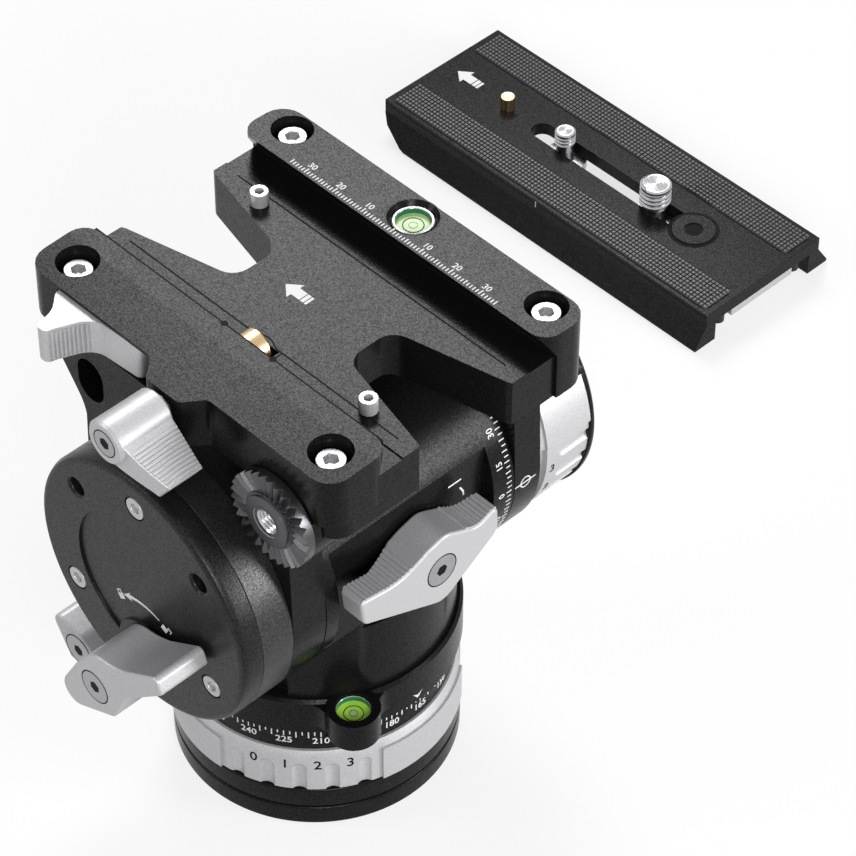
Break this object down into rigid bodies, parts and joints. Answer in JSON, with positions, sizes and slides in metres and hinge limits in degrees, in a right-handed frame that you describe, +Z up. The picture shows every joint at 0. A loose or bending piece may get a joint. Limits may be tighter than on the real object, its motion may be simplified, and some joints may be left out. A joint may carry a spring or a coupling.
{
  "type": "fluid video head",
  "caption": "Pan and tilt fluid head with drag rings, lock levers, a handle rosette and a sliding dovetail camera plate laid beside it.",
  "frame": {"origin": "centre of the base underside, on the pan axis", "axes": "+X along the tilt axis to the operator's right, +Y forward, +Z up along the pan axis"},
  "size_m": [0.3002, 0.2116, 0.1532],
  "materials": {
    "black_aluminium": "satin black anodised",
    "silver_aluminium": "bead-blasted anodised",
    "steel": "bright turned",
    "brass": "turned",
    "vial": "clear lime green",
    "grip_rubber": "knurled matt",
    "black_plastic": "satin"
  },
  "bodies": {
    "base": {"base_plate": "black_aluminium", "base_screws": "steel", "tripod_bush": "steel", "base_housing": "black_aluminium", "pan_drag_unit": "steel", "pan_scale_ring": "black_aluminium", "pan_shaft": "steel", "pan_nut": "steel", "thrust_washer": "brass"},
    "pan_ring": {"pan_drag_ring": "silver_aluminium"},
    "turning_body": {"pan_body": "black_aluminium", "pan_bubble": "vial", "tilt_axle": "steel", "brake_disc": "steel", "barrel_flange": "steel", "tilt_drag_unit": "steel", "counterbalance_spring": "steel"},
    "cradle": {"left_arm": "black_aluminium", "right_arm": "black_aluminium", "tilt_bushes": "brass", "left_drum": "black_aluminium", "end_disc": "black_aluminium", "end_disc_screws": "steel", "platform": "black_aluminium", "left_rail": "black_aluminium", "platform_screws": "steel", "stop_pins": "steel", "platform_bubble": "vial", "rosette": "steel", "release_pivot": "steel"},
    "tilt_knob": {"tilt_drag_knob": "silver_aluminium", "tilt_knob_cap": "black_aluminium"},
    "tilt_lock": {"tilt_lock_knob": "silver_aluminium", "tilt_lock_screw": "steel"},
    "pan_lock": {"pan_lock_lever": "silver_aluminium", "pan_lock_screw": "steel"},
    "balance": {"counterbalance_lever": "silver_aluminium", "counterbalance_screw": "steel"},
    "clamp": {"clamp_lever": "silver_aluminium", "clamp_screw": "steel"},
    "plunger": {"clamp_plunger": "brass"},
    "release": {"release_lever": "silver_aluminium"},
    "plate": {"camera_plate": "black_aluminium", "grip_pads": "grip_rubber", "plate_cap": "black_plastic", "plate_key": "silver_aluminium", "plate_stops": "black_plastic"},
    "pin": {"video_pin": "brass"},
    "small_screw": {"quarter_screw": "steel"},
    "large_screw": {"three_eighth_screw": "steel"}
  },
  "joints": [
    {"name": "pan", "type": "hinge", "parent": "base", "child": "turning_body", "pos_m": [0, 0, 0.036], "axis": [0, 0, 1], "continuous": true},
    {"name": "pan_drag", "type": "hinge", "parent": "base", "child": "pan_ring", "pos_m": [0, 0, 0.02], "axis": [0, 0, 1], "range_deg": [-12.8, 25.6]},
    {"name": "tilt", "type": "hinge", "parent": "turning_body", "child": "cradle", "pos_m": [0, 0, 0.0891], "axis": [1, 0, 0], "range_deg": [-70, 90]},
    {"name": "tilt_drag", "type": "hinge", "parent": "cradle", "child": "tilt_knob", "pos_m": [0.05, 0, 0.0891], "axis": [1, 0, 0], "range_deg": [-25.6, 25.6]},
    {"name": "tilt_lock_turn", "type": "hinge", "parent": "cradle", "child": "tilt_lock", "pos_m": [-0.06, 0, 0.0672], "axis": [1, 0, 0], "range_deg": [-40, 40]},
    {"name": "pan_lock_turn", "type": "hinge", "parent": "turning_body", "child": "pan_lock", "pos_m": [-0.048, 0.0292, 0.043], "axis": [1, 0, 0], "range_deg": [-20, 40]},
    {"name": "balance_turn", "type": "hinge", "parent": "turning_body", "child": "balance", "pos_m": [0.0013, -0.04, 0.0891], "axis": [0, 1, 0], "range_deg": [-8, 12]},
    {"name": "clamp_turn", "type": "hinge", "parent": "cradle", "child": "clamp", "pos_m": [-0.056, -0.0024, 0.1472], "axis": [1, 0, 0], "range_deg": [-90, 30]},
    {"name": "clamp_travel", "type": "slide", "parent": "cradle", "child": "plunger", "axis": [1, 0, 0], "range_m": [-0.0003124, 0.0001041]},
    {"name": "release_turn", "type": "hinge", "parent": "cradle", "child": "release", "pos_m": [-0.0382, 0.015, 0.146], "axis": [0, 0, 1], "range_deg": [0, 25], "stiffness_Nm_per_rad": 0.05, "springref_deg": -11.46},
    {"name": "plate_lift", "type": "slide", "parent": "base", "child": "plate", "axis": [0, 0, 1], "range_m": [0, 0.1]},
    {"name": "pin_press", "type": "slide", "parent": "plate", "child": "pin", "axis": [0, 0, 1], "range_m": [-0.004, 0], "stiffness_N_per_m": 300, "springref_m": 0.001},
    {"name": "small_screw_slide", "type": "slide", "parent": "plate", "child": "small_screw", "axis": [0, 1, 0], "range_m": [-0.01, 0.008]},
    {"name": "large_screw_slide", "type": "slide", "parent": "plate", "child": "large_screw", "axis": [0, 1, 0], "range_m": [-0.0028, 0.012]}
  ],
  "couplings": [
    {"joint": "clamp_turn", "follows": "clamp_travel", "rad_per_m": 5026.5}
  ]
}
